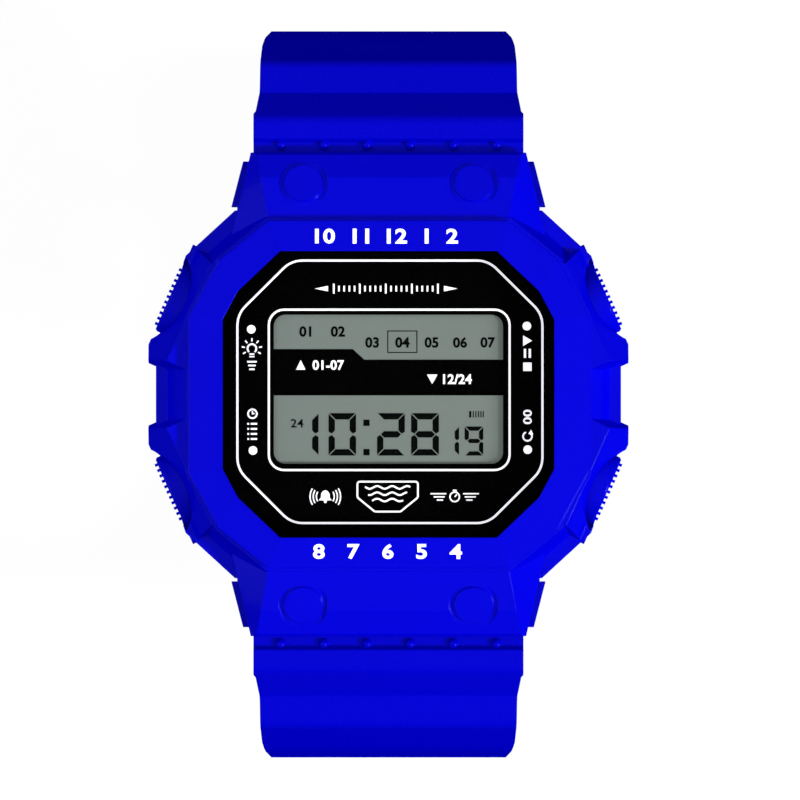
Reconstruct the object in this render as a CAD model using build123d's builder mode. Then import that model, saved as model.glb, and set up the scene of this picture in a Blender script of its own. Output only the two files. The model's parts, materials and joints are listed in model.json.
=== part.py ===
from build123d import *
import math
import os

# A square digital sports watch in moulded resin, unbuckled and standing on its own strap.
# Millimetres. +Z leaves the display, +Y points to 12 o'clock, +X to 3 o'clock.
# The origin is the middle of the caseback's outer face.

# Window, crystal and the ring of the bezel round it
opening_half_x = 15.75
opening_half_y = 13.6
opening_shares = ((0.654, 1.0), (0.908, 0.721), (1.0, 0.522))
ring_width_x = 3.2
ring_width_y = 2.9
ridge_shares = ((0.602, 1.0), (0.85, 0.771), (1.0, 0.455))
ring_fall = 0.6
ring_step = 0.8
lip_height = 1.0
lip_clearance = 0.05
crystal_lap = 0.65
crystal_thickness = 1.6
crystal_clearance = 0.05
crystal_bevel = 0.3
dial_thickness = 0.15
gasket_thickness = 0.3
gasket_width = 1.5

# Resin case
tower_wall = 1.2
case_wall_x = 2.3
case_wall_y = 1.9
case_corner = 6.0
shoulder_drop = 2.75
lug_thickness = 1.85
lug_neck = 1.3
lug_clearance = 0.25
lug_tip_radius = 1.6
lug_tip_wall = 0.75
lug_slant_y = 17.85
lug_shoulder_y = 18.2
lug_lift = 0.5
lug_drop = 0.4

# Outer shell of the bezel
skirt_clearance = 0.12
skirt_wall = 3.26
skirt_end_wall = 1.18
skirt_lift = 1.7
skirt_shares = ((0.66, 1.0), (0.872, 0.754), (1.0, 0.276))
ledge_width = 1.1
ledge_drop = 3.7
slope_inset = 0.3
guard_recess = 0.25
guard_long_end = 6.55
guard_short_end = 5.5
guard_draft = 0.9
guard_length = 7.0
guard_half_x = 22.85
guard_lean = 25.0
guard_land = 0.3
guard_drop = 0.5

# Flanges of the bezel over the strap ends
flange_reach = 23.0
flange_root = 15.0
flange_under = 8.1
flange_edge = 0.9
flange_fold = 20.6
flange_fold_drop = 0.9
flange_crease_end = 12.6
flange_side_end = 13.1
flange_side_root = 14.6
flange_chamfer = 0.25
boss_x = 8.1
boss_y = 20.1
boss_radius = 1.85
boss_groove = 0.45
boss_depth = 0.25
boss_thickness = 1.0

# Module inside the case
lcd_half_x = 11.6
lcd_half_y = 8.4
lcd_shift_y = 0.5
lcd_thickness = 1.3
lcd_gap = 0.2
lcd_fit = 0.1
lcd_ledge = 1.0
window_half_x = 10.9
window_top = 7.57
window_bottom = -6.6
window_corner = 1.1
frame_wall_x = 1.3
frame_wall_y = 3.2
frame_corner = 3.6
backlight_thickness = 0.3
backlight_gap = 0.05
strip_width = 1.2
strip_inset = 0.4
board_top = 4.8
board_thickness = 0.8
board_margin = 0.3
board_rise = 4.4
cavity_clearance = 0.4
cavity_corner = 4.5
chip_radius = 2.6
chip_height = 1.0
chip_draft = 30.0
chip_x = -2.5
chip_y = 1.0
resonator_radius = 0.7
resonator_length = 4.6
resonator_x = 5.5
resonator_y = -1.0
battery_radius = 10.0
battery_thickness = 1.6
battery_edge = 0.3
battery_gap = 0.05
battery_side_gap = 0.15
battery_x = -1.2
battery_y = 0.8
clip_thickness = 0.2
clip_width = 4.0
cushion_gap = 0.15
cushion_thickness = 0.75
buzzer_radius = 11.9
buzzer_thickness = 0.3
buzzer_spring_radius = 0.6
buzzer_spring_wire = 0.16
buzzer_spring_turns = 4
buzzer_spring_x = 8.2
buzzer_spring_y = -6.9
buzzer_spring_room = 0.4

# Caseback
back_thickness = 0.9
back_margin = 3.3
back_corner = 4.2
back_edge = 0.25
back_line_radius = 10.5
back_line_width = 0.4
back_line_depth = 0.1
seal_offset = 0.6
seal_width = 0.8
seal_depth = 0.6
seal_fit = 0.05
screw_radius = 0.5
screw_head_radius = 1.15
screw_head_height = 0.4
screw_clearance = 0.1
screw_fit = 0.02
back_screw_length = 4.2
back_screw_inset = 3.4
bezel_screw_length = 4.2
bezel_screw_height = 6.2
bezel_screw_depth = 0.8
slot_width = 0.3
slot_depth = 0.2

# Push buttons
button_angle = 24.0
button_x = 21.08
button_y = 9.35
button_height = 6.2
button_radius = 3.45
button_thickness = 2.0
button_travel = 0.8
button_gap = 0.2
button_recess = 0.35
mouth_width = 0.55
mouth_depth = 0.6
button_side_gap = 0.2
button_edge = 0.45
rib_pitch = 0.56
rib_depth = 0.28
stem_radius = 0.9
stem_length = 6.6
stem_clearance = 0.05
bush_radius = 1.5
bush_length = 3.4
spring_pocket_radius = 2.3
spring_pocket_depth = 1.2
button_spring_radius = 1.75
button_spring_wire = 0.25
button_spring_turns = 3
button_spring_gap = 0.02
retainer_radius = 1.3
retainer_thickness = 0.3
retainer_gap = 0.15
retainer_neck = 0.6
retainer_room = 0.25
seal_neck = 0.6
seal_length = 0.7
contact_gap = 0.05
contact_thickness = 0.2
contact_width = 1.6
contact_rise = 2.3
notch_half = 1.65
notch_rise = 1.6
notch_room = 0.3

# Spring bars
hinge_y = 20.6
hinge_z = 4.3
bar_radius = 0.9
bar_wall = 0.22
bar_crimp = 0.4
bar_end_gap = 0.3
bar_clearance = 0.05
tip_radius = 0.45
tip_clearance = 0.05
tip_reach = 0.85
tip_head = 0.9
tip_hole_depth = 0.95
bar_spring_wall = 0.2
bar_spring_gap = 0.05

# Strap, both halves
strap_half = 12.85
knuckle_radius = 3.2
strap_reach = 34.86
strap_thickness = 3.0
rib_drop = 16.8
rib_shares = ((0.239, 0.0), (0.260, 0.045), (0.398, 0.033), (0.569, -0.161), (0.776, -0.220),
              (0.946, -0.589), (1.0, -1.0))
inner_start_share = 0.25
inner_middle_shares = (0.7, 0.27)
rib_roll_radius = 1.3
end_roll_radius = 10.0
taper_shares = ((1.0, 0.25), (1.0, -0.002), (0.984, -0.02), (0.969, -0.1), (0.955, -0.17), (0.951, -0.23),
                (0.94, -0.46), (0.92, -0.6), (0.875, -1.0))
stud_count = 6
stud_pitch = 4.11
stud_radius = 0.5
stud_y = 23.75

# Upper strap half, keeper and buckle
upper_bend = 24.0
upper_bottom = 41.0
buckle_pivot_y = -4.5
strap_end_inset = 2.65
eye_radius = 1.75
tongue_slot = 3.4
tongue_slot_depth = 4.6
buckle_bar_radius = 0.75
buckle_bar_clearance = 0.05
buckle_side = 2.1
buckle_side_gap = 0.5
buckle_length = 14.0
buckle_far_bar = 2.6
buckle_thickness = 2.0
buckle_corner = 3.0
buckle_ear = 1.7
buckle_edge = 0.35
tongue_width = 1.9
tongue_thickness = 1.0
tongue_eye_wall = 0.75
tongue_gap = 0.06
tongue_overhang = 0.3
tongue_notch_depth = 0.3
tongue_notch_gap = 0.15
keeper_length = 5.0
keeper_wall = 1.2
keeper_side_gap = 0.3
keeper_strap_gap = 0.15
keeper_tail_room = 3.3
keeper_corner = 1.0
keeper_setback = 3.5

# Lower strap half
lower_bend = 30.0
lower_bottom = 60.0
lower_flat = 15.0
tail_bend = 40.0
tail_angle = 28.0
tail_corner = 8.0
hole_radius = 1.2
hole_count = 10
hole_pitch = 6.0
hole_tail_gap = 10.0

overrun = 1.0
far = 100.0

# Heights and half-widths worked out from the sizes above
lcd_top = board_top + board_rise
lcd_bottom = lcd_top - lcd_thickness
board_bottom = board_top - board_thickness
dial_bottom = lcd_top + lcd_gap
dial_top = dial_bottom + dial_thickness
seat_floor = dial_bottom - gasket_thickness
crystal_top = dial_top + crystal_thickness
lip_bottom = crystal_top + lip_clearance
case_bottom = back_thickness
case_top = crystal_top - lip_clearance
case_shoulder = case_top - shoulder_drop
bezel_top = lip_bottom + lip_height + ring_fall
ridge_top = bezel_top - ring_fall
slope_top = ridge_top - ring_step
ledge_top = slope_top - ledge_drop
skirt_bottom = case_bottom + skirt_lift
battery_top = board_bottom - battery_gap
battery_bottom = battery_top - battery_thickness
cushion_top = battery_bottom - clip_thickness - cushion_gap
cushion_bottom = cushion_top - cushion_thickness
buzzer_top = back_thickness + buzzer_thickness
backlight_top = lcd_bottom - backlight_gap
backlight_bottom = backlight_top - backlight_thickness
knuckle_top = hinge_z + knuckle_radius
lug_top = knuckle_top - lug_drop
rib_bottom = knuckle_top - rib_drop
buckle_pivot_z = strap_thickness / 2 - upper_bottom

crystal_half_x = opening_half_x + crystal_lap
crystal_half_y = opening_half_y + crystal_lap
seat_half_x = crystal_half_x + crystal_clearance
seat_half_y = crystal_half_y + crystal_clearance
tower_half_x = seat_half_x + tower_wall
tower_half_y = seat_half_y + tower_wall
case_half_x = seat_half_x + case_wall_x
case_half_y = seat_half_y + case_wall_y
ridge_half_x = opening_half_x + ring_width_x
ridge_half_y = opening_half_y + ring_width_y
skirt_half_x = case_half_x + skirt_clearance + skirt_wall
skirt_half_y = case_half_y + skirt_clearance + skirt_end_wall
frame_half_x = lcd_half_x + frame_wall_x
frame_half_y = lcd_half_y + frame_wall_y
board_half_x = frame_half_x + board_margin
board_half_y = frame_half_y + board_margin
cavity_half_x = board_half_x + cavity_clearance
cavity_half_y = board_half_y + cavity_clearance
back_half_x = cavity_half_x + back_margin
back_half_y = cavity_half_y + back_margin
back_screw_x = back_half_x - back_screw_inset
back_screw_y = back_half_y - back_screw_inset
lug_inner = strap_half + lug_clearance
lug_outer = lug_inner + lug_thickness
lug_neck_x = lug_inner + lug_neck
bar_half = lug_inner - bar_end_gap
bar_bore = bar_radius - bar_wall
hinge_reach = strap_reach - hinge_y
strap_inner_reach = strap_reach - strap_thickness
pocket_floor = button_thickness + button_travel + button_gap
spring_floor = pocket_floor + spring_pocket_depth
bush_end = spring_floor + bush_length
retainer_start = bush_end + retainer_gap
stem_end = button_thickness + stem_length
bore_radius = stem_radius + stem_clearance
upper_flat = strap_reach - upper_bend - buckle_pivot_y
strap_end_half = strap_half - strap_end_inset
keeper_y = strap_reach - upper_bend - keeper_setback

corners = ((1, 1), (-1, 1), (-1, -1), (1, -1))
button_sides = {"light": (-1, 1), "mode": (-1, -1), "start": (1, 1), "reset": (1, -1)}
bar_sides = {"top": 1, "bottom": -1}


def ring_of(half_x, half_y, shares):
    """A closed outline from one quadrant's corners, mirrored into all four."""
    quarter = [(half_x * a, half_y * b) for a, b in shares]
    right = quarter + [(x, -y) for x, y in reversed(quarter)]
    return right + [(-x, y) for x, y in reversed(right)]


def cut_corner(half_x, half_y, corner):
    """A rectangle with its four corners cut at 45 degrees."""
    return ring_of(half_x, half_y, ((1 - corner / half_x, 1), (1, 1 - corner / half_y)))


def prism(points, bottom, top, mode=Mode.ADD):
    """An upright solid on an outline, from one height to another, in the part being built."""
    with BuildSketch(Plane.XY.offset(bottom)) as base:
        Polygon(*points, align=None)
    extrude(base.sketch, amount=top - bottom, mode=mode)


def ruled(points, height, top_points, top_height):
    """A solid of flat facets between two outlines with as many corners."""
    with BuildSketch(Plane.XY.offset(height)) as base:
        Polygon(*points, align=None)
    with BuildSketch(Plane.XY.offset(top_height)) as top:
        Polygon(*top_points, align=None)
    loft([base.sketch.face(), top.sketch.face()], ruled=True)


def drill(plane, radius, depth, mode=Mode.SUBTRACT):
    """A round hole or peg that goes down from a plane, in the part being built."""
    with BuildSketch(plane) as circle:
        Circle(radius)
    extrude(circle.sketch, amount=-depth, mode=mode)


def along_button(side_x, side_y, depth=0.0):
    """Plane square to a button's axis, some depth below its outer face; local X points up."""
    turn = math.radians(button_angle)
    axis = Vector(side_x * math.cos(turn), side_y * math.sin(turn), 0)
    face = Vector(side_x * button_x, side_y * button_y, button_height)
    return Plane(origin=face - axis * depth, x_dir=(0, 0, 1), z_dir=axis)


def on_facet(side_x, side_y, depth=0.0):
    """Plane on the oblique facet of the bezel's skirt, some depth below it; local X points up."""
    first, second = [Vector(side_x * skirt_half_x * a, side_y * skirt_half_y * b, 0)
                     for a, b in skirt_shares[:2]]
    run = second - first
    axis = Vector(side_x * abs(run.Y), side_y * abs(run.X), 0).normalized()
    middle = (first + second) * 0.5 + Vector(0, 0, bezel_screw_height)
    return Plane(origin=middle - axis * depth, x_dir=(0, 0, 1), z_dir=axis)


def guard():
    """Guard of the button at the top right: a block with drafted ends, leaning back from its middle."""
    outer = along_button(1, 1, guard_recess)
    rise = slope_top - button_height
    fall = skirt_bottom - guard_drop - button_height
    lean = math.tan(math.radians(guard_lean))
    with BuildPart() as block:
        with BuildSketch(outer):
            Polygon((fall, -guard_short_end), (0, -guard_short_end), (rise, guard_draft - guard_short_end),
                    (rise, guard_long_end - guard_draft), (0, guard_long_end), (fall, guard_long_end),
                    align=None)
        extrude(amount=-guard_length)
        with BuildSketch(Plane.YZ.offset(guard_half_x)):
            Rectangle(far, far)
        extrude(amount=far, mode=Mode.SUBTRACT)
        for side in (1, -1):
            with BuildSketch(Plane(origin=outer.origin, x_dir=outer.z_dir, z_dir=outer.y_dir)):
                Polygon((overrun, side * (guard_land - overrun / lean)), (overrun, side * far),
                        ((guard_land - far) * lean, side * far), align=None)
            extrude(amount=far, both=True, mode=Mode.SUBTRACT)
    return block.part


def across(y):
    """Upright plane at a distance towards 12 o'clock; local X is the watch's X and local Y its Z."""
    return Plane(origin=(0, y, 0), x_dir=(1, 0, 0), z_dir=(0, -1, 0))


def crown_height(y):
    """Height of a flange's crown, which falls gently as far as its fold and faster beyond it."""
    if y <= flange_fold:
        return slope_top - flange_fold_drop * (y - ridge_half_y) / (flange_fold - ridge_half_y)
    end_drop = slope_top - flange_under - flange_edge - flange_fold_drop
    return slope_top - flange_fold_drop - end_drop * (y - flange_fold) / (flange_reach - flange_fold)


def flange_section(y):
    """Outline of a flange at a distance from the middle: a flat crown between two falling sides."""
    share = (y - ridge_half_y) / (flange_reach - ridge_half_y)
    crease = ridge_half_x * ridge_shares[0][0]
    crease += (flange_crease_end - crease) * share
    side = flange_side_root + (flange_side_end - flange_side_root) * share
    crown = crown_height(y)
    right = [(side, flange_under), (side, flange_under + flange_edge / 2), (crease, crown)]
    return right + [(-x, z) for x, z in reversed(right)]


def flange():
    """Flange of the bezel over the strap at 12 o'clock, with two flat bosses set across its fold."""
    fall = (slope_top - flange_under - flange_edge) / (flange_reach - ridge_half_y)
    crown = Vector(0, fall, 1).normalized()
    with BuildPart() as plate:
        sections = []
        for y in (flange_root, flange_fold, flange_reach):
            with BuildSketch(across(y)) as section:
                Polygon(*flange_section(y), align=None)
            sections.append(section.sketch.face())
        loft(sections, ruled=True)
        chamfer(plate.edges().group_by(Axis.Y)[-1].sort_by(Axis.Z)[-1], flange_chamfer)
        for side_x in (1, -1):
            middle = (side_x * boss_x, boss_y, crown_height(boss_y))
            face = Plane(origin=middle, x_dir=(1, 0, 0), z_dir=crown)
            drill(face.offset(boss_groove), boss_radius + boss_groove, boss_groove + boss_depth)
            drill(face, boss_radius, boss_thickness, Mode.ADD)
    return plate.part


def lug():
    """Lug of the case at 12 o'clock on the 3 o'clock side, with a blind hole for the spring bar's tip."""
    root = case_half_y - case_corner / 2
    with BuildPart() as ear:
        with BuildSketch(Plane.YZ.offset(lug_inner)):
            with Locations((hinge_y, hinge_z)):
                Circle(lug_tip_radius)
            with Locations(((root + lug_shoulder_y) / 2, (case_bottom + lug_lift + lug_top) / 2)):
                Rectangle(lug_shoulder_y - root, lug_top - case_bottom - lug_lift)
            make_hull()
        extrude(amount=lug_thickness)
        tip = (lug_inner + lug_tip_wall, hinge_y + lug_tip_radius)
        with BuildSketch():
            Polygon((lug_outer, lug_slant_y), tip, (tip[0], tip[1] + overrun),
                    (lug_outer + overrun, tip[1] + overrun), (lug_outer + overrun, 0), (lug_neck_x, 0),
                    (lug_neck_x, lug_slant_y), align=None)
        extrude(amount=far, both=True, mode=Mode.SUBTRACT)
        drill(Plane(origin=(lug_inner, hinge_y, hinge_z), x_dir=(0, 1, 0), z_dir=(-1, 0, 0)),
              tip_radius + tip_clearance, tip_hole_depth)
    return ear.part


def mirrored(part, side_x, side_y):
    """The same piece at another corner."""
    if side_x < 0:
        part = part.mirror(Plane.YZ)
    if side_y < 0:
        part = part.mirror(Plane.XZ)
    return part


def coil(radius, wire, height, turns, plane):
    """A compression spring of square wire in one unbroken tube, standing on a plane."""
    path = Helix(pitch=(height - wire) / turns, height=height - wire, radius=radius)
    with BuildPart() as spring:
        with BuildSketch(Plane(origin=path @ 0, x_dir=(1, 0, 0), z_dir=path % 0)):
            Rectangle(wire, wire)
        sweep(path=path, is_frenet=True)
    return plane.offset(wire / 2).location * spring.part


def strap_face(bend, bottom, flat):
    """Side profile of a strap half at 12 o'clock: knuckle, ribs, side, bend and a straight bottom."""
    outer = [(hinge_y + hinge_reach * a, knuckle_top + rib_drop * b) for a, b in rib_shares]
    bend_y = strap_reach - bend
    bend_z = bend - bottom
    inner_top = hinge_z - knuckle_radius
    start = (hinge_y + hinge_reach * inner_start_share, inner_top)
    middle_y = start[0] + (strap_inner_reach - start[0]) * inner_middle_shares[0]
    middle_z = inner_top + (rib_bottom - inner_top) * inner_middle_shares[1]
    with BuildSketch(Plane.YZ.offset(-strap_half)) as profile:
        with BuildLine():
            Polyline((hinge_y, knuckle_top), *outer, (strap_reach, bend_z))
            CenterArc((bend_y, bend_z), bend, 0, -90)
            Polyline((bend_y, -bottom), (bend_y - flat, -bottom), (bend_y - flat, strap_thickness - bottom),
                     (bend_y, strap_thickness - bottom))
            CenterArc((bend_y, bend_z), bend - strap_thickness, 0, -90)
            Line((strap_inner_reach, bend_z), (strap_inner_reach, rib_bottom))
            ThreePointArc((strap_inner_reach, rib_bottom), (middle_y, middle_z), start)
            Polyline(start, (hinge_y, inner_top), (hinge_y, knuckle_top))
        make_face()
        # the crests of both ribs and the corner where the side begins are rounded
        for crest, radius in ((outer[2], rib_roll_radius), (outer[4], rib_roll_radius),
                              (outer[5], end_roll_radius)):
            fillet(profile.vertices().sort_by_distance(crest)[0], radius)
        with Locations((hinge_y, hinge_z)):
            Circle(knuckle_radius)
    return profile.sketch


def taper():
    """Half-widths of the strap against height, seen along Y."""
    right = [(strap_half * a, knuckle_top + rib_drop * b) for a, b in taper_shares]
    right += [(strap_end_half, strap_thickness - upper_bottom), (strap_end_half, -far)]
    return right + [(-x, z) for x, z in reversed(right)]


def studs():
    """Row of small domes in the groove between the bezel's flange and the strap's first rib."""
    with BuildPart() as row:
        with Locations((0, stud_y, knuckle_top)):
            with GridLocations(stud_pitch, 0, stud_count, 1):
                Sphere(stud_radius)
    return row.part


def hinge_bore(y, z, radius):
    """Hole along X through a strap end, in the part being built."""
    with BuildSketch(Plane.YZ) as circle:
        with Locations((y, z)):
            Circle(radius)
    extrude(circle.sketch, amount=far, both=True, mode=Mode.SUBTRACT)


def save(part, name):
    part.label = name
    export_step(part, f"parts/{name}.step")


os.makedirs("parts", exist_ok=True)

# Bezel: faceted ring, sloping skirt, a leaning guard about each button, flanges over the strap ends
with BuildPart() as bezel:
    prism(ring_of(skirt_half_x, skirt_half_y, skirt_shares), skirt_bottom, ledge_top)
    ruled(ring_of(skirt_half_x - ledge_width, skirt_half_y - ledge_width, skirt_shares), ledge_top,
          ring_of(ridge_half_x + slope_inset, ridge_half_y + slope_inset, ridge_shares), slope_top)
    prism(ring_of(ridge_half_x, ridge_half_y, ridge_shares), slope_top, ridge_top)
    ruled(ring_of(ridge_half_x, ridge_half_y, ridge_shares), ridge_top,
          ring_of(opening_half_x, opening_half_y, opening_shares), bezel_top)
    for side_x, side_y in corners:
        add(mirrored(guard(), side_x, side_y))
    for side_y in (1, -1):
        add(mirrored(flange(), 1, side_y))
    # room for the case, the crystal's tower, the window, the lugs and the strap ends
    prism(cut_corner(case_half_x + skirt_clearance, case_half_y + skirt_clearance, case_corner),
          0, case_shoulder + skirt_clearance, Mode.SUBTRACT)
    prism(ring_of(tower_half_x + skirt_clearance, tower_half_y + skirt_clearance, opening_shares),
          0, lip_bottom, Mode.SUBTRACT)
    prism(ring_of(opening_half_x, opening_half_y, opening_shares), 0, bezel_top + overrun, Mode.SUBTRACT)
    lug_roof = lug_top + skirt_clearance
    bay_start = case_half_y - case_corner / 2
    for roof, half, start in ((flange_under, lug_inner, bay_start),
                              (lug_roof, lug_neck_x + skirt_clearance, bay_start),
                              (lug_roof, lug_outer + skirt_clearance, lug_slant_y - skirt_clearance)):
        for side_y in (1, -1):
            with BuildSketch(Plane.XY.offset(roof)):
                with Locations((0, side_y * (start + far / 2))):
                    Rectangle(2 * half, far)
            extrude(amount=-far, mode=Mode.SUBTRACT)
    pocket_radius = button_radius + button_recess
    for side_x, side_y in corners:
        drill(along_button(side_x, side_y, -overrun), pocket_radius, pocket_floor + overrun)
        with BuildSketch(along_button(side_x, side_y, guard_recess)) as mouth:
            Circle(pocket_radius + mouth_width)
        with BuildSketch(along_button(side_x, side_y, guard_recess + mouth_depth)) as throat:
            Circle(pocket_radius)
        loft([mouth.sketch.face(), throat.sketch.face()], ruled=True, mode=Mode.SUBTRACT)
        drill(along_button(side_x, side_y), spring_pocket_radius, spring_floor)
        drill(on_facet(side_x, side_y, -overrun), screw_head_radius + screw_clearance,
              bezel_screw_depth + overrun)
        drill(on_facet(side_x, side_y), screw_radius + screw_clearance, bezel_screw_length)
save(bezel.part, "bezel")

# Case: body with a tower for the crystal, four lugs, and stepped holes for the buttons
seal_line = cut_corner(cavity_half_x + seal_offset, cavity_half_y + seal_offset, cavity_corner)
with BuildPart() as case:
    prism(cut_corner(case_half_x, case_half_y, case_corner), case_bottom, case_shoulder)
    prism(ring_of(tower_half_x, tower_half_y, opening_shares), case_shoulder, case_top)
    for side_x, side_y in corners:
        add(mirrored(lug(), side_x, side_y))
    prism(cut_corner(cavity_half_x, cavity_half_y, cavity_corner), case_bottom, case_top, Mode.SUBTRACT)
    prism(ring_of(seat_half_x, seat_half_y, opening_shares), seat_floor, case_top, Mode.SUBTRACT)
    with BuildSketch(Plane.XY.offset(case_bottom)):
        Polygon(*seal_line, align=None)
        offset(amount=seal_width, kind=Kind.INTERSECTION)
        Polygon(*seal_line, align=None, mode=Mode.SUBTRACT)
    extrude(amount=seal_depth, mode=Mode.SUBTRACT)
    for side_x, side_y in corners:
        drill(along_button(side_x, side_y, -overrun), button_radius + button_side_gap,
              pocket_floor + overrun)
        drill(along_button(side_x, side_y), spring_pocket_radius, spring_floor)
        drill(along_button(side_x, side_y), bush_radius, bush_end + overrun)
        drill(along_button(side_x, side_y, bush_end), retainer_radius + retainer_room, bush_length)
        drill(on_facet(side_x, side_y, -overrun), screw_head_radius + screw_clearance,
              bezel_screw_depth + overrun)
        drill(on_facet(side_x, side_y), screw_radius + screw_fit, bezel_screw_depth + bezel_screw_length)
        drill(Plane.XY.offset(screw_head_height + screw_clearance + back_screw_length).move(
            Location((side_x * back_screw_x, side_y * back_screw_y, 0))), screw_radius + screw_fit, far)
save(case.part, "case")

# Crystal with a bevelled rim, the gasket below it and the printed dial plate between them
with BuildPart() as crystal:
    prism(ring_of(crystal_half_x, crystal_half_y, opening_shares), dial_top, crystal_top)
    chamfer(crystal.faces().sort_by(Axis.Z)[-1].edges(), crystal_bevel)
save(crystal.part, "crystal")

with BuildPart() as crystal_gasket:
    prism(ring_of(crystal_half_x, crystal_half_y, opening_shares), seat_floor, dial_bottom)
    prism(ring_of(crystal_half_x - gasket_width, crystal_half_y - gasket_width, opening_shares),
          seat_floor, dial_bottom, Mode.SUBTRACT)
save(crystal_gasket.part, "crystal_gasket")

with BuildPart() as dial_plate:
    prism(ring_of(crystal_half_x, crystal_half_y, opening_shares), dial_bottom, dial_top)
    with BuildSketch(Plane.XY.offset(dial_bottom)):
        with Locations((0, (window_top + window_bottom) / 2)):
            RectangleRounded(2 * window_half_x, window_top - window_bottom, window_corner)
    extrude(amount=dial_thickness, mode=Mode.SUBTRACT)
save(dial_plate.part, "dial_plate")

# Module: frame, display, backlight, contact strips, board and what it carries
with BuildPart() as module_frame:
    prism(cut_corner(frame_half_x, frame_half_y, frame_corner), board_top, lcd_top)
    with BuildSketch(Plane.XY.offset(lcd_bottom)):
        with Locations((0, lcd_shift_y)):
            Rectangle(2 * (lcd_half_x + lcd_fit), 2 * (lcd_half_y + lcd_fit))
    extrude(amount=lcd_thickness, mode=Mode.SUBTRACT)
    with BuildSketch(Plane.XY.offset(board_top)):
        with Locations((0, lcd_shift_y)):
            Rectangle(2 * (lcd_half_x - lcd_ledge), 2 * lcd_half_y)
    extrude(amount=lcd_bottom - board_top, mode=Mode.SUBTRACT)
    for side_x, side_y in corners:
        with BuildSketch(along_button(side_x, side_y, bush_end)):
            with Locations(((notch_rise + board_top - button_height) / 2, 0)):
                Rectangle(notch_rise - board_top + button_height, 2 * notch_half)
        extrude(amount=bush_end - stem_end - button_travel - contact_gap - contact_thickness - notch_room,
                mode=Mode.SUBTRACT)
save(module_frame.part, "module_frame")

with BuildPart() as lcd_panel:
    with BuildSketch(Plane.XY.offset(lcd_bottom)):
        with Locations((0, lcd_shift_y)):
            Rectangle(2 * lcd_half_x, 2 * lcd_half_y)
    extrude(amount=lcd_thickness)
save(lcd_panel.part, "lcd_panel")

with BuildPart() as backlight_panel:
    with BuildSketch(Plane.XY.offset(backlight_bottom)):
        with Locations((0, lcd_shift_y)):
            Rectangle(2 * (lcd_half_x - lcd_ledge - lcd_fit),
                      2 * (lcd_half_y - strip_inset - strip_width - lcd_fit))
    extrude(amount=backlight_thickness)
save(backlight_panel.part, "backlight_panel")

with BuildPart() as connector_strips:
    with BuildSketch(Plane.XY.offset(board_top)):
        with Locations((0, lcd_shift_y)):
            with GridLocations(0, 2 * (lcd_half_y - strip_inset) - strip_width, 1, 2):
                Rectangle(2 * (lcd_half_x - lcd_ledge - lcd_fit), strip_width)
    extrude(amount=lcd_bottom - board_top)
save(connector_strips.part, "connector_strips")

with BuildPart() as circuit_board:
    prism(cut_corner(board_half_x, board_half_y, frame_corner + board_margin), board_bottom, board_top)
save(circuit_board.part, "circuit_board")

with BuildPart() as chip:
    with BuildSketch(Plane.XY.offset(board_top)):
        with Locations((chip_x, chip_y)):
            Circle(chip_radius)
    extrude(amount=chip_height, taper=chip_draft)
save(chip.part, "chip")

with BuildPart() as resonator:
    with BuildSketch(across(resonator_y + resonator_length / 2)):
        with Locations((resonator_x, board_top + resonator_radius)):
            Circle(resonator_radius)
    extrude(amount=resonator_length)
save(resonator.part, "resonator")

with BuildPart() as switch_contacts:
    for side_x, side_y in corners:
        with BuildSketch(along_button(side_x, side_y, stem_end + button_travel + contact_gap)):
            with Locations((board_top - button_height + contact_rise / 2, 0)):
                Rectangle(contact_rise, contact_width)
        extrude(amount=-contact_thickness)
save(switch_contacts.part, "switch_contacts")

with BuildPart() as battery:
    with BuildSketch(Plane.XY.offset(battery_bottom)):
        with Locations((battery_x, battery_y)):
            Circle(battery_radius)
    extrude(amount=battery_thickness)
    chamfer(battery.faces().sort_by(Axis.Z)[0].edges(), battery_edge)
save(battery.part, "battery")

with BuildPart() as battery_clip:
    clip_half = battery_radius + battery_side_gap + clip_thickness
    with BuildSketch(across(battery_y + clip_width / 2)):
        with Locations((battery_x, (board_bottom + battery_bottom - clip_thickness) / 2)):
            Rectangle(2 * clip_half, board_bottom - battery_bottom + clip_thickness)
        with Locations((battery_x, (board_bottom + battery_bottom) / 2)):
            Rectangle(2 * (clip_half - clip_thickness), board_bottom - battery_bottom, mode=Mode.SUBTRACT)
    extrude(amount=clip_width)
save(battery_clip.part, "battery_clip")

with BuildPart() as shock_pad:
    prism(cut_corner(frame_half_x, frame_half_y, frame_corner), cushion_bottom, cushion_top)
    drill(Plane.XY.offset(cushion_top).move(Location((buzzer_spring_x, buzzer_spring_y, 0))),
          buzzer_spring_radius + buzzer_spring_room, far)
save(shock_pad.part, "shock_pad")

with BuildPart() as buzzer_disc:
    with BuildSketch(Plane.XY.offset(back_thickness)):
        Circle(buzzer_radius)
    extrude(amount=buzzer_thickness)
save(buzzer_disc.part, "buzzer_disc")

buzzer_spring = coil(buzzer_spring_radius, buzzer_spring_wire, board_bottom - buzzer_top,
                     buzzer_spring_turns,
                     Plane.XY.offset(buzzer_top).move(Location((buzzer_spring_x, buzzer_spring_y, 0))))
save(buzzer_spring, "buzzer_spring")

# Caseback with its seal and screws, and the screws that hold the bezel to the case
with BuildPart() as caseback_seal:
    with BuildSketch(Plane.XY.offset(case_bottom)):
        Polygon(*seal_line, align=None)
        offset(amount=seal_width - seal_fit, kind=Kind.INTERSECTION)
        with BuildSketch(Plane.XY, mode=Mode.SUBTRACT):
            Polygon(*seal_line, align=None)
            offset(amount=seal_fit, kind=Kind.INTERSECTION)
    extrude(amount=seal_depth)
save(caseback_seal.part, "caseback_seal")

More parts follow.
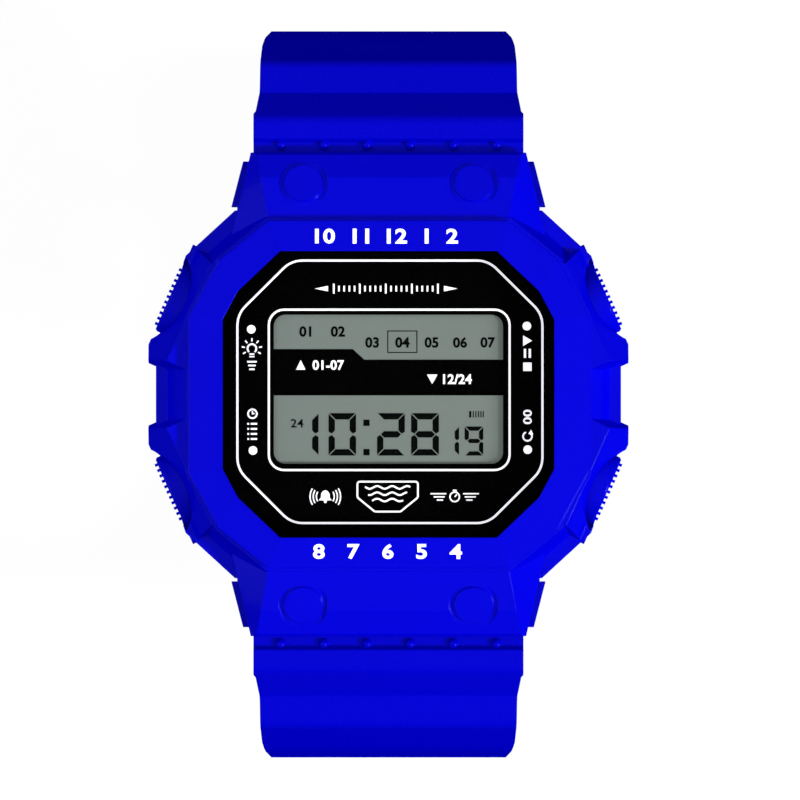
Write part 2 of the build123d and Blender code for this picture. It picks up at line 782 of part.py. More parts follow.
with BuildPart() as caseback:
    prism(cut_corner(back_half_x, back_half_y, back_corner), 0, back_thickness)
    chamfer(caseback.faces().sort_by(Axis.Z)[0].edges(), back_edge)
    with BuildSketch(Plane.XY):
        Circle(back_line_radius + back_line_width)
        Circle(back_line_radius, mode=Mode.SUBTRACT)
    extrude(amount=back_line_depth, mode=Mode.SUBTRACT)
    with BuildSketch(Plane.XY):
        with GridLocations(2 * back_screw_x, 2 * back_screw_y, 2, 2):
            Circle(screw_head_radius + screw_clearance)
    extrude(amount=screw_head_height + screw_clearance, mode=Mode.SUBTRACT)
    with BuildSketch(Plane.XY):
        with GridLocations(2 * back_screw_x, 2 * back_screw_y, 2, 2):
            Circle(screw_radius + screw_clearance)
    extrude(amount=back_thickness, mode=Mode.SUBTRACT)
save(caseback.part, "caseback")


def screw(plane, length):
    """Slotted screw with its head's underside on a plane and its shank below the plane."""
    with BuildPart() as body:
        drill(plane, screw_radius, length, Mode.ADD)
        drill(plane.offset(screw_head_height), screw_head_radius, screw_head_height, Mode.ADD)
        with BuildSketch(plane.offset(screw_head_height)):
            Rectangle(2 * screw_head_radius, slot_width)
        extrude(amount=-slot_depth, mode=Mode.SUBTRACT)
    return body.part


with BuildPart() as caseback_screws:
    for side_x, side_y in corners:
        seat = Plane(origin=(side_x * back_screw_x, side_y * back_screw_y,
                             screw_head_height + screw_clearance), x_dir=(1, 0, 0), z_dir=(0, 0, -1))
        add(screw(seat, back_screw_length))
save(caseback_screws.part, "caseback_screws")

with BuildPart() as bezel_screws:
    for side_x, side_y in corners:
        add(screw(on_facet(side_x, side_y, bezel_screw_depth), bezel_screw_length))
save(bezel_screws.part, "bezel_screws")

# Push buttons: ribbed cap and stem, seal ring, retainer, return spring and the bushes in the case
with BuildPart() as button_bushes:
    for side_x, side_y in corners:
        drill(along_button(side_x, side_y, spring_floor), bush_radius, bush_length, Mode.ADD)
        drill(along_button(side_x, side_y), bore_radius, far)
save(button_bushes.part, "button_bushes")

for name, (side_x, side_y) in button_sides.items():
    seal_start = spring_floor + (bush_length - seal_length) / 2
    with BuildPart() as button:
        drill(along_button(side_x, side_y), button_radius, button_thickness, Mode.ADD)
        chamfer(button.edges().filter_by(GeomType.CIRCLE).sort_by(SortBy.DISTANCE)[-1], button_edge)
        with BuildSketch(along_button(side_x, side_y)):
            with GridLocations(0, rib_pitch, 1, int(2 * button_radius / rib_pitch)):
                Rectangle(2 * button_radius, rib_pitch / 2)
        extrude(amount=-rib_depth, mode=Mode.SUBTRACT)
        drill(along_button(side_x, side_y, button_thickness), stem_radius, stem_length, Mode.ADD)
        for start, length, neck in ((seal_start, seal_length, seal_neck),
                                    (retainer_start, retainer_thickness, retainer_neck)):
            with BuildSketch(along_button(side_x, side_y, start)):
                Circle(stem_radius)
                Circle(neck, mode=Mode.SUBTRACT)
            extrude(amount=-length, mode=Mode.SUBTRACT)
    save(button.part, f"{name}_button")
    with BuildPart() as seal:
        drill(along_button(side_x, side_y, seal_start), bore_radius - seal_fit / 2, seal_length, Mode.ADD)
        drill(along_button(side_x, side_y, seal_start), seal_neck, seal_length)
    save(seal.part, f"{name}_button_seal")
    with BuildPart() as retainer:
        with BuildSketch(along_button(side_x, side_y, retainer_start)):
            Circle(retainer_radius)
            Circle(retainer_neck, mode=Mode.SUBTRACT)
            with Locations((retainer_radius, 0)):
                Rectangle(2 * retainer_radius, 2 * retainer_neck, mode=Mode.SUBTRACT)
        extrude(amount=-retainer_thickness)
    save(retainer.part, f"{name}_button_clip")
    spring_height = spring_floor - button_thickness - 2 * button_spring_gap
    save(coil(button_spring_radius, button_spring_wire, spring_height, button_spring_turns,
              along_button(side_x, side_y, spring_floor - button_spring_gap)), f"{name}_button_spring")

# Spring bars: crimped tubes with an inner spring and a sliding tip at each end
for name, side_y in bar_sides.items():
    lug_face = Plane(origin=(bar_half, side_y * hinge_y, hinge_z), x_dir=(0, 1, 0), z_dir=(1, 0, 0))
    tube_end = bar_half - bar_crimp
    head_end = tube_end - tip_head
    with BuildPart() as bar:
        drill(lug_face, bar_radius, 2 * bar_half, Mode.ADD)
        drill(lug_face.offset(-bar_crimp), bar_bore, 2 * tube_end)
        drill(lug_face, tip_radius + tip_clearance, 2 * bar_half)
    save(bar.part, f"{name}_spring_bar")
    with BuildPart() as bar_spring:
        drill(lug_face.offset(head_end - bar_spring_gap - bar_half), bar_bore - tip_clearance,
              2 * (head_end - bar_spring_gap), Mode.ADD)
        drill(lug_face, bar_bore - tip_clearance - bar_spring_wall, 2 * bar_half)
    save(bar_spring.part, f"{name}_bar_spring")
    for end, side_x in (("right", 1), ("left", -1)):
        tip_face = Plane(origin=(side_x * (lug_inner + tip_reach), side_y * hinge_y, hinge_z),
                         x_dir=(0, 1, 0), z_dir=(side_x, 0, 0))
        with BuildPart() as tip:
            drill(tip_face, tip_radius, lug_inner + tip_reach - head_end, Mode.ADD)
            drill(tip_face.offset(tube_end - lug_inner - tip_reach), bar_bore - tip_clearance, tip_head,
                  Mode.ADD)
        save(tip.part, f"{name}_{end}_bar_tip")

# Upper strap half with its buckle and the sliding keeper
with BuildPart() as upper_strap:
    extrude(strap_face(upper_bend, upper_bottom, upper_flat), amount=2 * strap_half)
    with BuildSketch(across(0)):
        Polygon(*taper(), align=None)
    extrude(amount=far, both=True, mode=Mode.INTERSECT)
    add(studs())
    with BuildSketch(Plane.YZ):
        with Locations((buckle_pivot_y, buckle_pivot_z)):
            Circle(eye_radius)
    extrude(amount=strap_end_half, both=True)
    with BuildSketch(Plane.XY):
        with Locations((0, buckle_pivot_y - eye_radius - overrun + (tongue_slot_depth + overrun) / 2)):
            Rectangle(tongue_slot, tongue_slot_depth + overrun)
    extrude(amount=-far, mode=Mode.SUBTRACT)
    hinge_bore(hinge_y, hinge_z, bar_radius + bar_clearance)
    hinge_bore(buckle_pivot_y, buckle_pivot_z, buckle_bar_radius + buckle_bar_clearance)
save(upper_strap.part, "upper_strap")

with BuildPart() as strap_keeper:
    inner_top = strap_thickness - upper_bottom + keeper_strap_gap
    inner_bottom = -upper_bottom - keeper_tail_room
    inner_half = strap_end_half + keeper_side_gap
    with BuildSketch(across(keeper_y + keeper_length / 2)):
        with Locations((0, (inner_top + inner_bottom) / 2)):
            RectangleRounded(2 * (inner_half + keeper_wall), inner_top - inner_bottom + 2 * keeper_wall,
                             keeper_corner + keeper_wall)
            RectangleRounded(2 * inner_half, inner_top - inner_bottom, keeper_corner / 2, mode=Mode.SUBTRACT)
    extrude(amount=keeper_length)
save(strap_keeper.part, "strap_keeper")

frame_half = strap_end_half + buckle_side_gap + buckle_side
frame_end = buckle_pivot_y - buckle_length
with BuildPart() as buckle_frame:
    with BuildSketch(Plane.XY.offset(buckle_pivot_z - buckle_thickness / 2)):
        with Locations((0, (buckle_pivot_y + buckle_ear + frame_end) / 2)):
            RectangleRounded(2 * frame_half, buckle_pivot_y + buckle_ear - frame_end, buckle_corner)
        with Locations((0, frame_end + buckle_far_bar + far / 2)):
            Rectangle(2 * (frame_half - buckle_side), far, mode=Mode.SUBTRACT)
    extrude(amount=buckle_thickness)
    flats = buckle_frame.faces().sort_by(Axis.Z)
    chamfer(flats[0].edges() + flats[-1].edges(), buckle_edge)
    with BuildSketch(Plane.XY.offset(buckle_pivot_z - buckle_thickness / 2)):
        with Locations((0, frame_end)):
            Rectangle(tongue_width + 2 * tongue_notch_gap, 2 * buckle_far_bar)
    extrude(amount=tongue_notch_depth, mode=Mode.SUBTRACT)
    hinge_bore(buckle_pivot_y, buckle_pivot_z, buckle_bar_radius + screw_fit)
save(buckle_frame.part, "buckle_frame")

with BuildPart() as buckle_bar:
    with BuildSketch(Plane.YZ):
        with Locations((buckle_pivot_y, buckle_pivot_z)):
            Circle(buckle_bar_radius)
    extrude(amount=frame_half, both=True)
save(buckle_bar.part, "buckle_bar")

with BuildPart() as buckle_tongue:
    eye = buckle_bar_radius + buckle_bar_clearance
    rest_z = buckle_pivot_z - buckle_thickness / 2 + tongue_notch_depth - tongue_gap
    tip_y = frame_end - tongue_overhang
    with BuildSketch(Plane.YZ):
        with BuildLine():
            Polyline((buckle_pivot_y, buckle_pivot_z - eye - tongue_eye_wall),
                     (buckle_pivot_y, buckle_pivot_z - eye),
                     (frame_end + buckle_far_bar, rest_z), (tip_y, rest_z),
                     (tip_y, rest_z - tongue_thickness / 2), (frame_end, rest_z - tongue_thickness),
                     (buckle_pivot_y, buckle_pivot_z - eye - tongue_eye_wall))
        make_face()
        with Locations((buckle_pivot_y, buckle_pivot_z)):
            Circle(eye + tongue_eye_wall)
            Circle(eye, mode=Mode.SUBTRACT)
    extrude(amount=tongue_width / 2, both=True)
save(buckle_tongue.part, "buckle_tongue")

# Lower strap half: bend, the stretch that the watch stands on, and a rising tail with its holes
tail_middle = (strap_reach - lower_bend - lower_flat, tail_bend - lower_bottom)


def along_lower(distance):
    """Plane on the lower half's outer face, a distance along it from where its bottom is straight."""
    start = strap_reach - lower_bend
    if distance < 0:
        turn = -distance / lower_bend
        centre, radius = (start, lower_bend - lower_bottom), lower_bend
        sweep_side = 1
    else:
        turn = max(distance - lower_flat, 0) / tail_bend
        centre, radius = (start - min(distance, lower_flat), tail_middle[1]), tail_bend
        sweep_side = -1
    y = centre[0] + sweep_side * radius * math.sin(turn)
    z = centre[1] - radius * math.cos(turn)
    outward = (0, sweep_side * math.sin(turn), -math.cos(turn))
    return Plane(origin=(0, y, z), x_dir=(1, 0, 0), z_dir=outward)


tail_length = lower_flat + tail_bend * math.radians(tail_angle)
with BuildPart() as lower_strap:
    extrude(strap_face(lower_bend, lower_bottom, lower_flat), amount=2 * strap_half)
    with BuildSketch(Plane.YZ.offset(-strap_half)):
        with BuildLine():
            outside = CenterArc(tail_middle, tail_bend, -90, -tail_angle)
            inside = CenterArc(tail_middle, tail_bend - strap_thickness, -90, -tail_angle)
            Line(outside @ 0, inside @ 0)
            Line(outside @ 1, inside @ 1)
        make_face()
    extrude(amount=2 * strap_half)
    with BuildSketch(across(0)):
        Polygon(*taper(), align=None)
    extrude(amount=far, both=True, mode=Mode.INTERSECT)
    add(studs())
    # the tail's corners are rounded off, and the holes go through square to the strap
    with BuildSketch(along_lower(tail_length)):
        with Locations((0, (overrun - tail_corner) / 2)):
            Rectangle(2 * strap_half, tail_corner + overrun)
        with Locations((0, -2 * tail_corner)):
            RectangleRounded(2 * strap_end_half, 4 * tail_corner, tail_corner, mode=Mode.SUBTRACT)
    extrude(amount=2 * strap_thickness, both=True, mode=Mode.SUBTRACT)
    for number in range(hole_count):
        drill(along_lower(tail_length - hole_tail_gap - number * hole_pitch).offset(overrun), hole_radius,
              strap_thickness + 2 * overrun)
    hinge_bore(hinge_y, hinge_z, bar_radius + bar_clearance)
save(mirrored(lower_strap.part, 1, -1), "lower_strap")
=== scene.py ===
import json
import math

import bpy
import numpy as np
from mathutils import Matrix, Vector


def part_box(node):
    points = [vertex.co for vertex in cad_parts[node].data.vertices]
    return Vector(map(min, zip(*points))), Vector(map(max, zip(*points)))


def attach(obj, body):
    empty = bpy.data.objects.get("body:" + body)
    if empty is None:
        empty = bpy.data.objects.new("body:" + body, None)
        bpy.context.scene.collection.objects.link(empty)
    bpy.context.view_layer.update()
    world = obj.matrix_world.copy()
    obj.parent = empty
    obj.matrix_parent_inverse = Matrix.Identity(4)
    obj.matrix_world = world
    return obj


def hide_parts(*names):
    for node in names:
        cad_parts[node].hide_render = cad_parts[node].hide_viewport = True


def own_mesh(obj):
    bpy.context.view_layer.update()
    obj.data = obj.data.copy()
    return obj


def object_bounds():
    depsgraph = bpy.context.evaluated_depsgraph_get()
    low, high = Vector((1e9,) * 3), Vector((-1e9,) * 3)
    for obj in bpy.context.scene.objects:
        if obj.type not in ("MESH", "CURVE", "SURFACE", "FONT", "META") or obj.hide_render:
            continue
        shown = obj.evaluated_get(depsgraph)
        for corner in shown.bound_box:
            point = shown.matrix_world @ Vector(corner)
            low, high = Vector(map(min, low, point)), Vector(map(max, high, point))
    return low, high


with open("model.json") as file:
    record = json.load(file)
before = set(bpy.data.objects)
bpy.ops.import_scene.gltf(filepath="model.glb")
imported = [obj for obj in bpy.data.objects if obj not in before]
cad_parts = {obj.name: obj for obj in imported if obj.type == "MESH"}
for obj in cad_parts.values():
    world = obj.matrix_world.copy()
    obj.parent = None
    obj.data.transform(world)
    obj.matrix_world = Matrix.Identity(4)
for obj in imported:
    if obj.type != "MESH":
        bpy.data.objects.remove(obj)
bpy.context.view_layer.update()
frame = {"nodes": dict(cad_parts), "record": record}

nodes = frame["nodes"]
mm = 0.001
print("frame loaded:", len(nodes), "nodes")

# The watch looks up: +Z leaves the display, +Y is 12 o'clock, +X is 3 o'clock.
# Sizes below are in millimetres until they go into a mesh or a material. Some of the studio's are in metres.


class Wire:
    # One socket of a node tree; sums, differences and products on it add Math nodes
    def __init__(self, tree, socket):
        self.tree = tree
        self.socket = socket

    def make(self, kind, settings=None, values=None, outlet=0):
        # Any node: its settings first, then the value or link of each socket
        node = self.tree.nodes.new(kind)
        for key, value in (settings or {}).items():
            setattr(node, key, value)
        for key, value in (values or {}).items():
            if isinstance(value, Wire):
                self.tree.links.new(value.socket, node.inputs[key])
            else:
                node.inputs[key].default_value = value
        return Wire(self.tree, node.outputs[outlet])

    def sum(self, operation, first, second):
        return self.make("ShaderNodeMath", {"operation": operation}, {0: first, 1: second})

    def __add__(self, other):
        return self.sum("ADD", self, other)

    def __radd__(self, other):
        return self.sum("ADD", other, self)

    def __sub__(self, other):
        return self.sum("SUBTRACT", self, other)

    def __rsub__(self, other):
        return self.sum("SUBTRACT", other, self)

    def __mul__(self, other):
        return self.sum("MULTIPLY", self, other)

    def __rmul__(self, other):
        return self.sum("MULTIPLY", other, self)


def newMaterial(name):
    material = bpy.data.materials.new(name)
    material.use_nodes = True
    tree = material.node_tree
    tree.nodes.clear()
    place = Wire(tree, tree.nodes.new("ShaderNodeTexCoord").outputs["Object"])
    return material, place


def finishMaterial(material, shader):
    out = material.node_tree.nodes.new("ShaderNodeOutputMaterial")
    material.node_tree.links.new(shader.socket, out.inputs["Surface"])
    return material


def speckle(place, scale, detail, stretch=(1.0, 1.0, 1.0)):
    spread = place.make("ShaderNodeMapping", {}, {"Vector": place, "Scale": stretch})
    return place.make("ShaderNodeTexNoise", {}, {"Vector": spread, "Scale": scale, "Detail": detail})


def tinted(place, mask, first, second):
    return place.make("ShaderNodeMix", {"data_type": "RGBA"}, {0: mask, 6: first, 7: second}, 2)


resinMaking = {"cloudDetail": 2.0, "grainDetail": 4.0, "edgeSamples": 6, "blend": 0.5}
metalMaking = {"lineDetail": 5.0, "lineDepth": 0.01, "edgeSamples": 4}
paintMaking = {"detail": 3.0, "roughSwing": 0.06, "grain": 0.1, "grainDepth": 0.005}


def mouldedResin(name, look):
    # Resin from a polished mould: a faint cloud in the colour, fine grain in the gloss, rounded edges.
    # The gloss shows on what faces the eye and fades on what is seen edge on, so steep sides stay deep.
    material, place = newMaterial(name)
    cloud = speckle(place, look["cloudScale"], resinMaking["cloudDetail"])
    grain = speckle(place, look["grainScale"], resinMaking["grainDetail"])
    colour = tinted(place, cloud, look["deep"], look["bright"])
    rough = look["rough"] + grain * look["roughSwing"]
    edge = place.make("ShaderNodeBevel", {"samples": resinMaking["edgeSamples"]}, {
        "Radius": look["edge"] * mm})
    bump = place.make("ShaderNodeBump", {}, {
        "Height": grain, "Strength": look["grain"], "Distance": look["grainDepth"] * mm, "Normal": edge})
    matte = place.make("ShaderNodeBsdfPrincipled", {}, {
        "Base Color": colour, "Roughness": rough, "Normal": bump, "Specular IOR Level": 0.0})
    gloss = place.make("ShaderNodeBsdfPrincipled", {}, {
        "Base Color": colour, "Roughness": rough, "Normal": bump, "Specular IOR Level": look["shine"]})
    turned = place.make("ShaderNodeLayerWeight", {}, {"Blend": resinMaking["blend"]}, 1)
    return finishMaterial(material, place.make("ShaderNodeMixShader", {}, {
        0: 1.0 - look["fade"] * turned, 1: matte, 2: gloss}))


def brushedMetal(name, look):
    # Metal with fine brush lines: noise drawn out along one direction
    material, place = newMaterial(name)
    lines = speckle(place, look["lineScale"], metalMaking["lineDetail"], look["stretch"])
    colour = tinted(place, lines, look["deep"], look["bright"])
    rough = look["rough"] + lines * look["roughSwing"]
    edge = place.make("ShaderNodeBevel", {"samples": metalMaking["edgeSamples"]}, {
        "Radius": look["edge"] * mm})
    bump = place.make("ShaderNodeBump", {}, {
        "Height": lines, "Strength": look["lines"], "Distance": metalMaking["lineDepth"] * mm,
        "Normal": edge})
    return finishMaterial(material, place.make("ShaderNodeBsdfPrincipled", {}, {
        "Base Color": colour, "Roughness": rough, "Normal": bump, "Metallic": 1.0}))


def plainPaint(name, look):
    # Printed ink, display film and board lacquer: a slight mottle over one colour. A glow, where a look gives
    # one, is painted light: ink and film are no lamps.
    material, place = newMaterial(name)
    mottle = speckle(place, look["scale"], paintMaking["detail"])
    colour = tinted(place, mottle, look["deep"], look["bright"])
    rough = look["rough"] + mottle * paintMaking["roughSwing"]
    bump = place.make("ShaderNodeBump", {}, {
        "Height": mottle, "Strength": paintMaking["grain"], "Distance": paintMaking["grainDepth"] * mm})
    # The emission here is painted light, the ink's and the display film's glow
    return finishMaterial(material, place.make("ShaderNodeBsdfPrincipled", {}, {
        "Base Color": colour, "Roughness": rough, "Normal": bump, "Specular IOR Level": look["shine"],
        "Emission Color": look["bright"], "Emission Strength": look.get("glow", 0.0)}))


def clearCrystal(name, look):
    # Mineral glass: see-through, with a gloss that grows where it is seen edge on
    material, place = newMaterial(name)
    smear = speckle(place, look["smearScale"], look["smearDetail"])
    gloss = place.make("ShaderNodeBsdfPrincipled", {}, {
        "Base Color": look["tint"], "Roughness": look["rough"] + smear * look["roughSwing"],
        "Specular IOR Level": look["shine"]})
    clear = place.make("ShaderNodeBsdfTransparent", {}, {"Color": (1.0, 1.0, 1.0, 1.0)})
    facing = place.make("ShaderNodeLayerWeight", {}, {"Blend": look["blend"]}, 1)
    share = look["least"] + facing * look["more"]
    return finishMaterial(material, place.make("ShaderNodeMixShader", {}, {0: share, 1: clear, 2: gloss}))


resinLooks = {
    "bezelResin": {"deep": (0.0002, 0.0002, 0.76, 1), "bright": (0.0004, 0.0004, 0.81, 1),
                   "cloudScale": 90.0, "grainScale": 5200.0, "rough": 0.16, "roughSwing": 0.06,
                   "edge": 0.2, "grain": 0.06, "grainDepth": 0.01, "shine": 0.07, "fade": 1.5},
    "caseResin": {"deep": (0.0002, 0.0002, 0.66, 1), "bright": (0.0004, 0.0004, 0.74, 1),
                  "cloudScale": 90.0, "grainScale": 4200.0, "rough": 0.32, "roughSwing": 0.1,
                  "edge": 0.1, "grain": 0.12, "grainDepth": 0.012, "shine": 0.08, "fade": 1.6},
    "strapResin": {"deep": (0.0002, 0.0002, 0.68, 1), "bright": (0.0004, 0.0004, 0.73, 1),
                   "cloudScale": 70.0, "grainScale": 3600.0, "rough": 0.22, "roughSwing": 0.1,
                   "edge": 0.25, "grain": 0.1, "grainDepth": 0.012, "shine": 0.05, "fade": 1.6},
    "moduleResin": {"deep": (0.012, 0.012, 0.013, 1), "bright": (0.022, 0.022, 0.024, 1),
                    "cloudScale": 200.0, "grainScale": 3600.0, "rough": 0.5, "roughSwing": 0.15,
                    "edge": 0.08, "grain": 0.3, "grainDepth": 0.02, "shine": 0.3, "fade": 0.6},
    "sealRubber": {"deep": (0.008, 0.008, 0.008, 1), "bright": (0.014, 0.014, 0.014, 1),
                   "cloudScale": 200.0, "grainScale": 2600.0, "rough": 0.7, "roughSwing": 0.15,
                   "edge": 0.06, "grain": 0.4, "grainDepth": 0.02, "shine": 0.3, "fade": 0.6},
}
metalLooks = {
    "brushedSteel": {"deep": (0.42, 0.42, 0.43, 1), "bright": (0.62, 0.62, 0.63, 1), "lineScale": 900.0,
                     "stretch": (0.06, 2.0, 2.0), "rough": 0.26, "roughSwing": 0.16, "edge": 0.08,
                     "lines": 0.3},
    "polishedSteel": {"deep": (0.62, 0.62, 0.64, 1), "bright": (0.74, 0.74, 0.76, 1), "lineScale": 1500.0,
                      "stretch": (1.0, 1.0, 1.0), "rough": 0.12, "roughSwing": 0.08, "edge": 0.05,
                      "lines": 0.1},
    "turnedBrass": {"deep": (0.55, 0.38, 0.12, 1), "bright": (0.78, 0.58, 0.24, 1), "lineScale": 1200.0,
                    "stretch": (1.0, 1.0, 0.1), "rough": 0.22, "roughSwing": 0.12, "edge": 0.05,
                    "lines": 0.2},
}
paintLooks = {
    "dialBlack": {"deep": (0.0003, 0.0003, 0.0003, 1), "bright": (0.0008, 0.0008, 0.0008, 1),
                  "scale": 1500.0, "rough": 0.6, "shine": 0.01},
    # The display film's faint glow is painted light that lifts it where the bezel's rim shades it; the
    # display has no lamp
    "displayFilmPaintedGlow": {"deep": (0.235, 0.277, 0.250, 1), "bright": (0.252, 0.296, 0.268, 1),
                    "scale": 260.0, "rough": 0.6, "shine": 0.02, "glow": 0.08},
    "displayDark": {"deep": (0.001, 0.002, 0.002, 1), "bright": (0.003, 0.005, 0.004, 1),
                    "scale": 900.0, "rough": 0.6, "shine": 0.02},
    # The white ink's glow is painted light: it keeps the print white where the bezel's rim shades it
    "whiteInk": {"deep": (0.94, 0.94, 0.94, 1), "bright": (1.0, 1.0, 1.0, 1),
                 "scale": 900.0, "rough": 0.5, "shine": 0.1, "glow": 0.65},
    "boardLacquer": {"deep": (0.01, 0.09, 0.04, 1), "bright": (0.02, 0.16, 0.07, 1),
                     "scale": 400.0, "rough": 0.3, "shine": 0.5},
    "backlightFilm": {"deep": (0.62, 0.68, 0.63, 1), "bright": (0.72, 0.78, 0.73, 1),
                      "scale": 400.0, "rough": 0.5, "shine": 0.3},
}
crystalLook = {"tint": (0.0, 0.0, 0.0, 1), "smearScale": 120.0, "smearDetail": 2.0, "rough": 0.02,
               "roughSwing": 0.02, "shine": 0.5, "blend": 0.2, "least": 0.01, "more": 0.25}
finish = {name: mouldedResin(name, look) for name, look in resinLooks.items()}
finish.update({name: brushedMetal(name, look) for name, look in metalLooks.items()})
finish.update({name: plainPaint(name, look) for name, look in paintLooks.items()})
finish["clearCrystal"] = clearCrystal("clearCrystal", crystalLook)
print("materials made:", len(finish))

# Each CAD node gets the finish of its material slot
slotFinish = {
    "blue_resin": "bezelResin", "strap_resin": "strapResin", "case_resin": "caseResin",
    "clear_crystal": "clearCrystal", "dial_black": "dialBlack", "display_grey": "displayFilmPaintedGlow",
    "module_black": "moduleResin", "board_green": "boardLacquer", "seal_black": "sealRubber",
    "backlight_white": "backlightFilm", "steel": "brushedSteel", "polished_steel": "polishedSteel",
    "brass": "turnedBrass",
}
for part in frame["record"]["subparts"]:
    mesh = nodes[part["node"]].data
    mesh.materials.clear()
    mesh.materials.append(finish[slotFinish[part["material_slot"]]])
print("CAD nodes finished")

# Each spring stands in for its CAD node and keeps its shape.
# A spring bar's spring has a tip at each end, so it is two halves that meet in the middle: each is the
# CAD mesh with the points past the middle drawn back to it.
for joint in frame["record"]["behaviour"]["joints"]:
    for spring in joint.get("deforming_nodes", []):
        name = spring["node"]
        axis = Vector(joint["axis"]).normalized()
        mesh = nodes[name].data.copy()
        corners = np.empty(len(mesh.vertices) * 3)
        mesh.vertices.foreach_get("co", corners)
        corners = corners.reshape(-1, 3)
        along = corners @ np.array(axis)
        fixed = 0.0 if name.endswith("bar_spring") else float(along.max())
        free = float(along.min())
        corners -= np.maximum(along - fixed, 0.0)[:, None] * np.array(axis)
        mesh.vertices.foreach_set("co", corners.ravel())
        mesh.update()
        piece = bpy.data.objects.new(joint["name"] + "_spring", mesh)
        bpy.context.scene.collection.objects.link(piece)
        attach(piece, "root")
        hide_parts(name)
        tuple(axis * fixed)
        1 - max(joint["range_m"]) / (fixed - free)
        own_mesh(piece)
print("springs set")


def meshPiece(name, points, faces, look, slotName):
    mesh = bpy.data.meshes.new(name)
    mesh.from_pydata((np.asarray(points) * mm).tolist(), [], faces)
    mesh.update()
    piece = bpy.data.objects.new(name, mesh)
    bpy.context.scene.collection.objects.link(piece)
    mesh.materials.append(finish[look])
    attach(piece, "root")
    return piece


def slab(outline, low, high):
    # A flat plate: the outline once at its underside and once at its top, joined by a wall
    outline = np.asarray(outline, float)
    after = np.roll(outline, -1, axis=0)
    if np.sum(outline[:, 0] * after[:, 1] - after[:, 0] * outline[:, 1]) < 0:
        outline = outline[::-1]
    count = len(outline)
    index = np.arange(count)
    after = np.roll(index, -1)
    points = np.vstack([np.column_stack([outline, np.full(count, low)]),
                        np.column_stack([outline, np.full(count, high)])])
    walls = np.column_stack([index, after, after + count, index + count]).tolist()
    return points, walls + [index[::-1].tolist(), (index + count).tolist()]


def oblong(left, bottom, right, top, low, high):
    # A plate with four square corners, given by two that face each other
    return slab([(left, bottom), (right, bottom), (right, top), (left, top)], low, high)


def oblongAt(x, y, wide, tall, low, high):
    # The same plate, given by its middle and its two sides
    return oblong(x - wide / 2, y - tall / 2, x + wide / 2, y + tall / 2, low, high)


def gather(shapes):
    # Several meshes as one: the points stacked, each shape's faces moved up by the points before it
    points, faces, start = [], [], 0
    for shapePoints, shapeFaces in shapes:
        points.append(shapePoints)
        faces += [[corner + start for corner in face] for face in shapeFaces]
        start += len(shapePoints)
    return np.vstack(points), faces


def roundedOutline(corners, radius, steps=8):
    # A polygon with round corners: at each corner an arc that touches both sides
    corners = np.asarray(corners, float)
    before = np.roll(corners, 1, axis=0) - corners
    after = np.roll(corners, -1, axis=0) - corners
    before /= np.linalg.norm(before, axis=1)[:, None]
    after /= np.linalg.norm(after, axis=1)[:, None]
    half = np.arccos(np.clip(np.sum(before * after, axis=1), -1, 1)) / 2
    bisector = before + after
    bisector /= np.linalg.norm(bisector, axis=1)[:, None]
    centre = corners + bisector * (radius / np.sin(half))[:, None]
    start = corners + before * (radius / np.tan(half))[:, None] - centre
    end = corners + after * (radius / np.tan(half))[:, None] - centre
    turn = np.arctan2(start[:, 0] * end[:, 1] - start[:, 1] * end[:, 0], np.sum(start * end, axis=1))
    share = np.linspace(0, 1, steps)[None, :] * turn[:, None]
    x = centre[:, :1] + start[:, :1] * np.cos(share) - start[:, 1:] * np.sin(share)
    y = centre[:, 1:] + start[:, :1] * np.sin(share) + start[:, 1:] * np.cos(share)
    return np.column_stack([x.ravel(), y.ravel()])


def band(line, width, low, high, closed=True):
    # A strip of one width along a line: two offsets of the line by half the width, top and bottom
    line = np.asarray(line, float)
    if closed:
        ahead, behind = np.roll(line, -1, axis=0) - line, line - np.roll(line, 1, axis=0)
    else:
        step = np.diff(line, axis=0)
        ahead, behind = np.vstack([step, step[-1:]]), np.vstack([step[:1], step])
    ahead = ahead / np.linalg.norm(ahead, axis=1)[:, None]
    behind = behind / np.linalg.norm(behind, axis=1)[:, None]
    along = ahead + behind
    along /= np.linalg.norm(along, axis=1)[:, None]
    mitre = 1 / np.sum(along * ahead, axis=1)
    side = np.column_stack([-along[:, 1], along[:, 0]]) * (width / 2 * mitre)[:, None]
    rings = [np.column_stack([line + side, np.full(len(line), low)]),
             np.column_stack([line - side, np.full(len(line), low)]),
             np.column_stack([line - side, np.full(len(line), high)]),
             np.column_stack([line + side, np.full(len(line), high)])]
    points = np.stack(rings, axis=1).reshape(-1, 3)
    count = len(line)
    first = np.arange(count if closed else count - 1)
    after = (first + 1) % count
    faces = []
    for edge in range(4):
        other = (edge + 1) % 4
        faces += np.column_stack([first * 4 + edge, after * 4 + edge, after * 4 + other,
                                  first * 4 + other]).tolist()
    if not closed:
        faces += [[0, 1, 2, 3], [4 * count - 1, 4 * count - 2, 4 * count - 3, 4 * count - 4]]
    return points, faces


def arc(x, y, radius, start, end, steps=20):
    # Points on a circle, at equal angles between two directions in degrees
    angle = np.radians(np.linspace(start, end, steps))
    return np.column_stack([x + radius * np.cos(angle), y + radius * np.sin(angle)])


def disc(x, y, radius, low, high, steps=28):
    # A round plate, with its edge points at equal angles
    angle = np.linspace(0, 2 * np.pi, steps, endpoint=False)
    return slab(np.column_stack([x + radius * np.cos(angle), y + radius * np.sin(angle)]), low, high)


writing = {"fatten": 0.012, "space": 1.04, "steps": 4}


